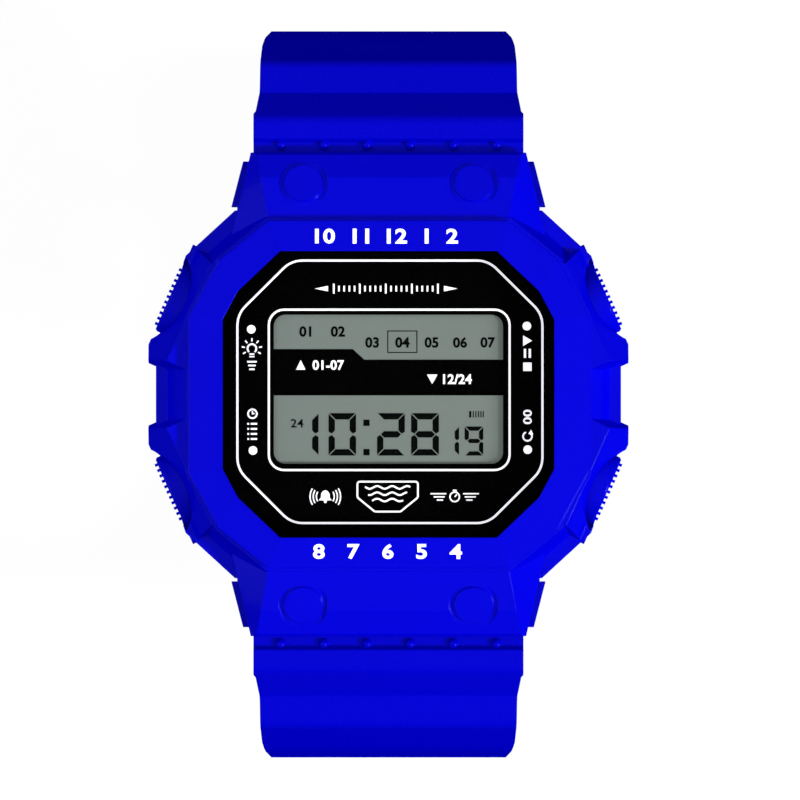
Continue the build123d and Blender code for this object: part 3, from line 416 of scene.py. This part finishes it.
def figures(text, tall, low, high, fatten=writing["fatten"]):
    # Plain upright figures from the built-in font, as one mesh whose middle is at the origin
    curve = bpy.data.curves.new("figures", "FONT")
    curve.body = text
    curve.size = 1.0
    curve.offset = fatten
    curve.extrude = 0.5
    curve.space_character = writing["space"]
    curve.resolution_u = writing["steps"]
    draft = bpy.data.objects.new("figures", curve)
    bpy.context.scene.collection.objects.link(draft)
    bpy.context.view_layer.update()
    flat = bpy.data.meshes.new_from_object(draft.evaluated_get(bpy.context.evaluated_depsgraph_get()))
    points = np.empty(len(flat.vertices) * 3)
    flat.vertices.foreach_get("co", points)
    points = points.reshape(-1, 3)
    faces = [list(face.vertices) for face in flat.polygons]
    bpy.data.objects.remove(draft)
    bpy.data.meshes.remove(flat)
    lowest, highest = points.min(axis=0), points.max(axis=0)
    points[:, :2] -= (lowest[:2] + highest[:2]) / 2
    points[:, :2] *= tall / (highest[1] - lowest[1])
    points[:, 2] = np.where(points[:, 2] > 0, high, low)
    return points, faces


def placed(shape, x, y, turn=0.0, widen=1.0):
    # A shape made wider, then turned about the origin, then moved to its place
    points, faces = shape
    points = points.copy()
    points[:, 0] *= widen
    spin = math.radians(turn)
    points[:, :2] = points[:, :2] @ np.array([[math.cos(spin), math.sin(spin)],
                                              [-math.sin(spin), math.cos(spin)]])
    return points + np.array([x, y, 0.0]), faces


# White print on the dial: a line near its edge and one round the display
dial = {
    "top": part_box("dial_plate")[1].z / mm, "sink": 0.01, "raise": 0.015, "line": 0.2,
    "edge": [(9.48, 12.72), (-9.24, 12.72), (-14.36, 7.62), (-14.36, -7.1),
             (-9.24, -12.24), (9.48, -12.24), (14.64, -7.1), (14.64, 7.62)], "edgeCorner": 2.6,
    "window": [(11.52, 8.05), (-11.37, 8.05), (-11.37, -7.2), (11.52, -7.2)], "windowCorner": 1.45,
}
ink = (dial["top"] - dial["sink"], dial["top"] + dial["raise"])
lines = [band(roundedOutline(dial[name], dial[name + "Corner"]), dial["line"], *ink)
         for name in ("edge", "window")]
meshPiece("dialLines", *gather(lines), "whiteInk", "dial_black")

# A scale of ticks between two arrow heads, above the display
scale = {
    "left": -5.2, "right": 4.7, "middle": 10.05, "wide": 0.16, "tall": 0.95, "short": 0.55,
    "count": 21, "tallEvery": 5,
    "arrows": [[(-7.02, 10.05), (-5.74, 9.79), (-5.74, 10.31)], [(6.57, 10.05), (5.28, 9.79), (5.28, 10.31)]],
}
ticks = []
for step in range(scale["count"]):
    x = scale["left"] + (scale["right"] - scale["left"]) * step / (scale["count"] - 1)
    tall = scale["short"] if step % scale["tallEvery"] else scale["tall"]
    ticks.append(oblongAt(x, scale["middle"], scale["wide"], tall, *ink))
ticks += [slab(arrow, *ink) for arrow in scale["arrows"]]
meshPiece("lightScale", *gather(ticks), "whiteInk", "dial_black")

# A dot and small pictures beside each button: a lamp with rays and rows, a clock with rows,
# start, pause and stop, and a turning arrow with zeros
dots = {"places": [(-13.04, 6.18), (-12.88, -5.34), (13.16, 6.49), (13.24, -5.26)], "radius": 0.41}
signs = [disc(x, y, dots["radius"], *ink) for x, y in dots["places"]]

lamp = {
    "middle": (-12.98, 4.35), "radius": 0.42, "from": -50, "to": 230, "line": 0.16,
    "capBelow": (0.52, 0.76), "capWide": 0.48, "capTall": 0.13,
    "rayTurns": range(-30, 211, 40), "rayFrom": 0.68, "rayTo": 0.98, "rayLine": 0.13,
    "rows": 3, "rowY": 3.1, "rowStep": 0.36, "rowWide": 0.9, "rowLess": 0.2, "rowTall": 0.16,
}
x, y = lamp["middle"]
signs.append(band(arc(x, y, lamp["radius"], lamp["from"], lamp["to"]), lamp["line"], *ink, closed=False))
signs += [oblongAt(x, y - below, lamp["capWide"], lamp["capTall"], *ink) for below in lamp["capBelow"]]
for turn in lamp["rayTurns"]:
    out = np.array([math.cos(math.radians(turn)), math.sin(math.radians(turn))])
    ray = [lamp["middle"] + out * lamp["rayFrom"], lamp["middle"] + out * lamp["rayTo"]]
    signs.append(band(ray, lamp["rayLine"], *ink, closed=False))
signs += [oblongAt(x, lamp["rowY"] - lamp["rowStep"] * row, lamp["rowWide"] - lamp["rowLess"] * row,
                   lamp["rowTall"], *ink) for row in range(lamp["rows"])]

wholeTurn = 342    # a circle of twenty points: the last stands a step before the first
clock = {
    "middle": (-12.93, -1.85), "radius": 0.42, "line": 0.15,
    "hands": [(0.0, 0.26), (0.0, 0.0), (0.2, 0.02)], "handLine": 0.12,
    "rows": 4, "rowY": -2.8, "rowStep": 0.48, "rowX": -12.79, "rowWide": 0.6, "pointX": -13.33, "tall": 0.17,
}
signs.append(band(arc(*clock["middle"], clock["radius"], 0, wholeTurn), clock["line"], *ink))
signs.append(band(np.add(clock["middle"], clock["hands"]), clock["handLine"], *ink, closed=False))
for row in range(clock["rows"]):
    y = clock["rowY"] - clock["rowStep"] * row
    signs.append(oblongAt(clock["pointX"], y, clock["tall"], clock["tall"], *ink))
    signs.append(oblongAt(clock["rowX"], y, clock["rowWide"], clock["tall"], *ink))

run = {
    "start": [(12.8, 5.6), (12.8, 4.6), (13.66, 5.1)],
    "pause": [(12.98, 3.9), (13.44, 3.9)], "pauseWide": 0.22, "pauseTall": 0.86,
    "stop": (13.21, 2.62), "stopSide": 0.8,
}
signs.append(slab(run["start"], *ink))
signs += [oblongAt(x, y, run["pauseWide"], run["pauseTall"], *ink) for x, y in run["pause"]]
signs.append(oblongAt(*run["stop"], run["stopSide"], run["stopSide"], *ink))

again = {
    "middle": (13.22, -4.0), "radius": 0.42, "from": 110, "to": 410, "line": 0.15,
    "head": [(13.30, -3.78), (13.78, -3.82), (13.56, -3.36)],
    "zeros": (13.22, -2.15), "zerosTall": 0.82, "zerosFatten": 0.02, "zerosTurn": 90.0, "zerosWiden": 1.25,
}
turning = arc(*again["middle"], again["radius"], again["from"], again["to"])
signs.append(band(turning, again["line"], *ink, closed=False))
signs.append(slab(again["head"], *ink))
signs.append(placed(figures("00", again["zerosTall"], *ink, again["zerosFatten"]), *again["zeros"],
                    again["zerosTurn"], again["zerosWiden"]))
meshPiece("buttonSigns", *gather(signs), "whiteInk", "dial_black")

# Two triangles with plain figures between the display's windows
display = {
    "top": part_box("lcd_panel")[1].z / mm, "sink": 0.01, "raise": 0.02,
    "band": [(-11.0, 4.3), (-3.38, 4.3), (-2.29, 3.3), (11.0, 3.3), (11.0, -0.1), (-11.0, -0.1)],
}
glass = (display["top"] - display["sink"], display["top"] + display["raise"])
marks = {
    "raise": 0.02, "tall": 0.95, "fatten": 0.03, "texts": [("01-07", -5.72, 2.78), ("12/24", 6.56, 1.44)],
    "triangles": [[(-8.78, 2.34), (-7.89, 2.34), (-8.34, 3.26)], [(3.67, 1.88), (4.66, 1.88), (4.16, 0.99)]],
}
onBand = (glass[0], glass[1] + marks["raise"])
shapes = [slab(triangle, *onBand) for triangle in marks["triangles"]]
shapes += [placed(figures(text, marks["tall"], *onBand, marks["fatten"]), x, y)
           for text, x, y in marks["texts"]]
meshPiece("windowMarks", *gather(shapes), "whiteInk", "dial_black")

# The lower edge of the dial: a bell, a stopwatch, and a bare plate with waves between them
bell = {
    "middle": (-6.0, -9.72),
    "outline": [(-0.62, -0.36), (0.62, -0.36), (0.42, -0.1), (0.4, 0.28), (0.22, 0.52),
                (0.0, 0.6), (-0.22, 0.52), (-0.4, 0.28), (-0.42, -0.1)],
    "clapper": 0.14, "clapperBelow": 0.48, "clapperSteps": 16,
    "sounds": (0.85, 1.15, 1.45), "spread": 32, "soundSteps": 9, "line": 0.12,
}
x, y = bell["middle"]
low = [slab(np.add(bell["middle"], bell["outline"]), *ink),
       disc(x, y - bell["clapperBelow"], bell["clapper"], *ink, bell["clapperSteps"])]
for aim in (180, 0):
    for reach in bell["sounds"]:
        sound = arc(x, y, reach, aim - bell["spread"], aim + bell["spread"], bell["soundSteps"])
        low.append(band(sound, bell["line"], *ink, closed=False))

stopwatch = {
    "middle": (6.3, -9.75), "radius": 0.45, "line": 0.13, "hand": [(0.0, 0.0), (0.2, 0.22)], "handLine": 0.12,
    "knobHalf": 0.18, "knobFrom": 0.52, "knobTo": 0.68, "rows": 3, "rowY": 0.3, "rowStep": 0.3,
    "near": 0.8, "nearStep": 0.15, "far": 2.3, "farStep": 0.3, "rowLine": 0.12,
}
x, y = stopwatch["middle"]
low.append(band(arc(x, y, stopwatch["radius"], 0, wholeTurn), stopwatch["line"], *ink))
low.append(band(np.add(stopwatch["middle"], stopwatch["hand"]), stopwatch["handLine"], *ink, closed=False))
low.append(oblong(x - stopwatch["knobHalf"], y + stopwatch["knobFrom"],
                  x + stopwatch["knobHalf"], y + stopwatch["knobTo"], *ink))
for side in (-1, 1):
    for row in range(stopwatch["rows"]):
        near = x + side * (stopwatch["near"] + stopwatch["nearStep"] * row)
        far = x + side * (stopwatch["far"] - stopwatch["farStep"] * row)
        level = y + stopwatch["rowY"] - stopwatch["rowStep"] * row
        low.append(band([(near, level), (far, level)], stopwatch["rowLine"], *ink, closed=False))

plate = {
    "outline": [(-2.95, -8.3), (-2.95, -9.8), (-1.3, -11.15), (1.15, -11.15), (2.8, -9.8), (2.8, -8.3)],
    "corner": 0.25, "line": 0.16, "waves": (-8.85, -9.45, -10.05), "left": -2.3, "right": 2.15,
    "narrower": 0.35, "points": 60, "swing": 0.13, "beat": 4.4,
}
low.append(band(roundedOutline(plate["outline"], plate["corner"]), plate["line"], *ink))
x = np.linspace(plate["left"], plate["right"], plate["points"])
for row, y in enumerate(plate["waves"]):
    inside = x[(x > plate["left"] + plate["narrower"] * row) & (x < plate["right"] - plate["narrower"] * row)]
    wave = np.column_stack([inside, y + plate["swing"] * np.sin(inside * plate["beat"])])
    low.append(band(wave, plate["line"], *ink, closed=False))
meshPiece("lowerSigns", *gather(low), "whiteInk", "dial_black")
print("dial printed")

# The display: a black band between its two windows, and lit figures
meshPiece("displayBand", *slab(display["band"], *glass), "dialBlack", "dial_black")


def litFigure(which, left, right, top, bottom, thick, gap):
    # Seven bars; each is a trapezoid whose long side is the figure's edge, the middle one a flat hexagon
    middle = (top + bottom) / 2
    half = thick / 2
    tip = half * 0.6
    bars = {
        "a": [(left + gap, top), (right - gap, top),
              (right - gap - thick, top - thick), (left + gap + thick, top - thick)],
        "b": [(right, top - gap), (right, middle + gap + tip), (right - half, middle + gap),
              (right - thick, middle + gap + half), (right - thick, top - gap - thick)],
        "c": [(right, bottom + gap), (right - thick, bottom + gap + thick),
              (right - thick, middle - gap - half), (right - half, middle - gap),
              (right, middle - gap - tip)],
        "d": [(left + gap, bottom), (left + gap + thick, bottom + thick),
              (right - gap - thick, bottom + thick), (right - gap, bottom)],
        "e": [(left, bottom + gap), (left, middle - gap - tip), (left + half, middle - gap),
              (left + thick, middle - gap - half), (left + thick, bottom + gap + thick)],
        "f": [(left, top - gap), (left + thick, top - gap - thick),
              (left + thick, middle + gap + half), (left + half, middle + gap),
              (left, middle + gap + tip)],
        "g": [(left + half + gap, middle), (left + thick + gap, middle + half),
              (right - thick - gap, middle + half), (right - half - gap, middle),
              (right - thick - gap, middle - half), (left + thick + gap, middle - half)],
    }
    return [slab(bars[name], *glass) for name in which]


lit = {
    "bottom": -5.82, "gap": 0.07, "top": -1.79, "thick": 0.60, "smallTop": -3.06, "smallThick": 0.40,
    "time": (("bc", -9.2, -6.65), ("abcdef", -5.69, -3.08), ("abged", -1.08, 1.56), ("abcdefg", 2.16, 4.80)),
    "seconds": (("bc", 5.0, 6.71), ("abcdfg", 7.25, 9.02)),
    "colonLeft": -2.38, "colonRight": -1.79, "colonY": (-2.71, -5.5), "colonHalf": 0.3,
    "charge": ((7.68, 0.2), (8.02, 0.1), (8.27, 0.1), (8.52, 0.1), (8.75, 0.1), (8.97, 0.1)),
    "chargeBottom": -2.2, "chargeTop": -1.6, "hours": (-8.68, -2.75), "hoursTall": 0.8, "hoursWiden": 1.1,
}
days = {
    "places": ((-7.9, 5.97), (-4.8, 5.97), (-1.55, 4.93), (1.33, 4.93), (4.1, 4.93), (6.81, 4.93),
               (9.45, 4.93)),
    "tall": 1.02, "fatten": 0.035, "frame": [(-0.06, 6.02), (-0.06, 3.98), (2.71, 3.98), (2.71, 6.02)],
    "line": 0.09,
}
shapes = []
for which, left, right in lit["time"]:
    shapes += litFigure(which, left, right, lit["top"], lit["bottom"], lit["thick"], lit["gap"])
for which, left, right in lit["seconds"]:
    shapes += litFigure(which, left, right, lit["smallTop"], lit["bottom"], lit["smallThick"], lit["gap"])
shapes += [oblong(lit["colonLeft"], y - lit["colonHalf"], lit["colonRight"], y + lit["colonHalf"], *glass)
           for y in lit["colonY"]]
shapes += [oblong(x, lit["chargeBottom"], x + wide, lit["chargeTop"], *glass) for x, wide in lit["charge"]]
shapes.append(placed(figures("24", lit["hoursTall"], *glass), *lit["hours"], widen=lit["hoursWiden"]))
shapes += [placed(figures("0" + str(day + 1), days["tall"], *glass, days["fatten"]), x, y)
           for day, (x, y) in enumerate(days["places"])]
shapes.append(band(days["frame"], days["line"], *glass))
meshPiece("displayFigures", *gather(shapes), "displayDark", "module_black")
print("display lit")

# Plain hour figures on the bezel's ring
ring = {
    "top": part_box("bezel")[1].z / mm, "innerY": 13.6, "outerY": 16.5, "fall": 0.6,
    "sink": 0.03, "raise": 0.02, "fatten": 0.03, "tall": 1.42, "widen": 1.2,
    "upper": ("10", "11", "12", "1", "2"), "upperLeft": -6.97, "upperRight": 6.61, "upperY": 15.02,
    "lower": ("8", "7", "6", "5", "4"), "lowerLeft": -7.16, "lowerRight": 6.99, "lowerY": -14.92,
}


def onRing(shape):
    # The ring's face falls outwards in a straight line, so height follows the distance from the middle
    points, faces = shape
    points[:, 2] += ring["top"] - ring["fall"] * (np.abs(points[:, 1]) - ring["innerY"]) / (
        ring["outerY"] - ring["innerY"])
    return points, faces


def spread(words, left, right, middle):
    # Figures in a row between two ends, with the same gap between neighbours
    shapes = [placed(figures(word, ring["tall"], -ring["sink"], ring["raise"], ring["fatten"]), 0, 0,
                     widen=ring["widen"]) for word in words]
    widths = [np.ptp(points[:, 0]) for points, faces in shapes]
    gap = (right - left - sum(widths)) / (len(words) - 1)
    row, edge = [], left
    for shape, width in zip(shapes, widths):
        row.append(placed(shape, edge + width / 2, middle))
        edge += width + gap
    return row


upper = spread(ring["upper"], ring["upperLeft"], ring["upperRight"], ring["upperY"])
lower = spread(ring["lower"], ring["lowerLeft"], ring["lowerRight"], ring["lowerY"])
meshPiece("ringFigures", *onRing(gather(upper + lower)), "whiteInk", "dial_black")
print("ring printed")

# Floor, room, air, lamps and camera. The floor lies low enough for the lower strap at its lowest pose.
# The halves of floor and room and the camera's distance and reach are in metres.
studio = {
    "floorBelow": 5.5, "floorHalf": 6.0, "floorGlow": 0.96, "roomHalf": 1.4, "roomGlow": 0.98,
    "airFrom": -0.1, "airSide": 0.15, "airTop": 0.49, "airBelowFrom": -0.35, "airBelow": 0.3,
    "distance": 1.9, "reach": 20.0, "shiftX": 1.1, "shiftY": -0.54, "plane": 11.0, "view": 76.0,
}
lamps = {
    "keySun": {"from": (0.78, -0.3, 0.52), "energy": 2.5, "width": 10.0},
    "fillSun": {"from": (-0.9, 0.0, 0.4), "energy": 0.9, "width": 70.0},
}


def oneSided(name, kind, values):
    # A finish that shows where a face points to the eye and is clear from its other side
    material, place = newMaterial(name)
    shown = place.make(kind, {}, values)
    nothing = place.make("ShaderNodeBsdfTransparent")
    behind = place.make("ShaderNodeNewGeometry", {}, {}, 6)
    return finishMaterial(material, place.make("ShaderNodeMixShader", {}, {0: behind, 1: shown, 2: nothing}))


def ground(name, points, faces, paint):
    # Only the eye meets floor and room: the watch's light is the air's and the lamps'
    mesh = bpy.data.meshes.new(name)
    mesh.from_pydata(points, [], faces)
    mesh.materials.append(paint)
    piece = bpy.data.objects.new(name, mesh)
    bpy.context.scene.collection.objects.link(piece)
    piece.visible_diffuse = False
    piece.visible_glossy = False
    return piece


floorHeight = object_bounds()[0].z / mm - studio["floorBelow"]
half = studio["floorHalf"]
ground("floor", [(x * half, y * half, floorHeight * mm) for x, y in ((-1, -1), (1, -1), (1, 1), (-1, 1))],
       [(0, 1, 2, 3)], oneSided("floorPaint", "ShaderNodeBsdfPrincipled", {
           "Base Color": (0.06, 0.06, 0.06, 1), "Roughness": 0.8, "Specular IOR Level": 0.0,
           "Emission Color": (1, 1, 1, 1), "Emission Strength": studio["floorGlow"]}))

# A pale room about the watch, so that every side is seen against the same plain ground. Its walls face
# inwards, and it keeps no lamp's light out.
half = studio["roomHalf"]
room = ground("room", [(x * half, y * half, z * half) for x in (-1, 1) for y in (-1, 1) for z in (-1, 1)],
              [(0, 2, 3, 1), (4, 5, 7, 6), (0, 1, 5, 4), (2, 6, 7, 3), (0, 4, 6, 2), (1, 3, 7, 5)],
              oneSided("roomPaint", "ShaderNodeEmission", {
                  "Color": (1, 1, 1, 1), "Strength": studio["roomGlow"]}))
room.visible_shadow = False

# The air is bright overhead, as under a large soft box, dim at the sides and a little lighter from below.
# The key lamp stands at the right, a broad weak one at the left.
world = bpy.data.worlds.new("studioAir")
world.use_nodes = True
air = world.node_tree
air.nodes.clear()
upward = Wire(air, air.nodes.new("ShaderNodeTexCoord").outputs["Generated"])
height = upward.make("ShaderNodeSeparateXYZ", {}, {"Vector": upward}, 2)
glow = height.make("ShaderNodeMapRange", {"clamp": True}, {
    "Value": height, "From Min": studio["airFrom"], "From Max": 1.0,
    "To Min": studio["airSide"], "To Max": studio["airTop"]})
lift = height.make("ShaderNodeMapRange", {"clamp": True}, {
    "Value": height, "From Min": studio["airBelowFrom"], "From Max": -1.0,
    "To Min": 0.0, "To Max": studio["airBelow"]})
sky = glow.make("ShaderNodeBackground", {}, {"Color": (1, 1, 1, 1), "Strength": glow + lift})
air.links.new(sky.socket, air.nodes.new("ShaderNodeOutputWorld").inputs["Surface"])
bpy.context.scene.world = world

for name, look in lamps.items():
    light = bpy.data.lights.new(name, "SUN")
    light.energy = look["energy"]
    light.angle = math.radians(look["width"])
    sun = bpy.data.objects.new(name, light)
    sun.rotation_euler = Vector(look["from"]).to_track_quat("Z", "Y").to_euler()
    bpy.context.scene.collection.objects.link(sun)

# The camera is left unturned, so it looks straight down on the display
camera = bpy.data.objects.new("camera", bpy.data.cameras.new("camera"))
camera.data.lens = studio["distance"] / (studio["view"] * mm) * camera.data.sensor_width
camera.data.clip_end = studio["reach"]
camera.location = (studio["shiftX"] * mm, studio["shiftY"] * mm, studio["plane"] * mm + studio["distance"])
bpy.context.scene.collection.objects.link(camera)
bpy.context.scene.camera = camera
bpy.context.scene.view_settings.view_transform = "Standard"
print("studio set")
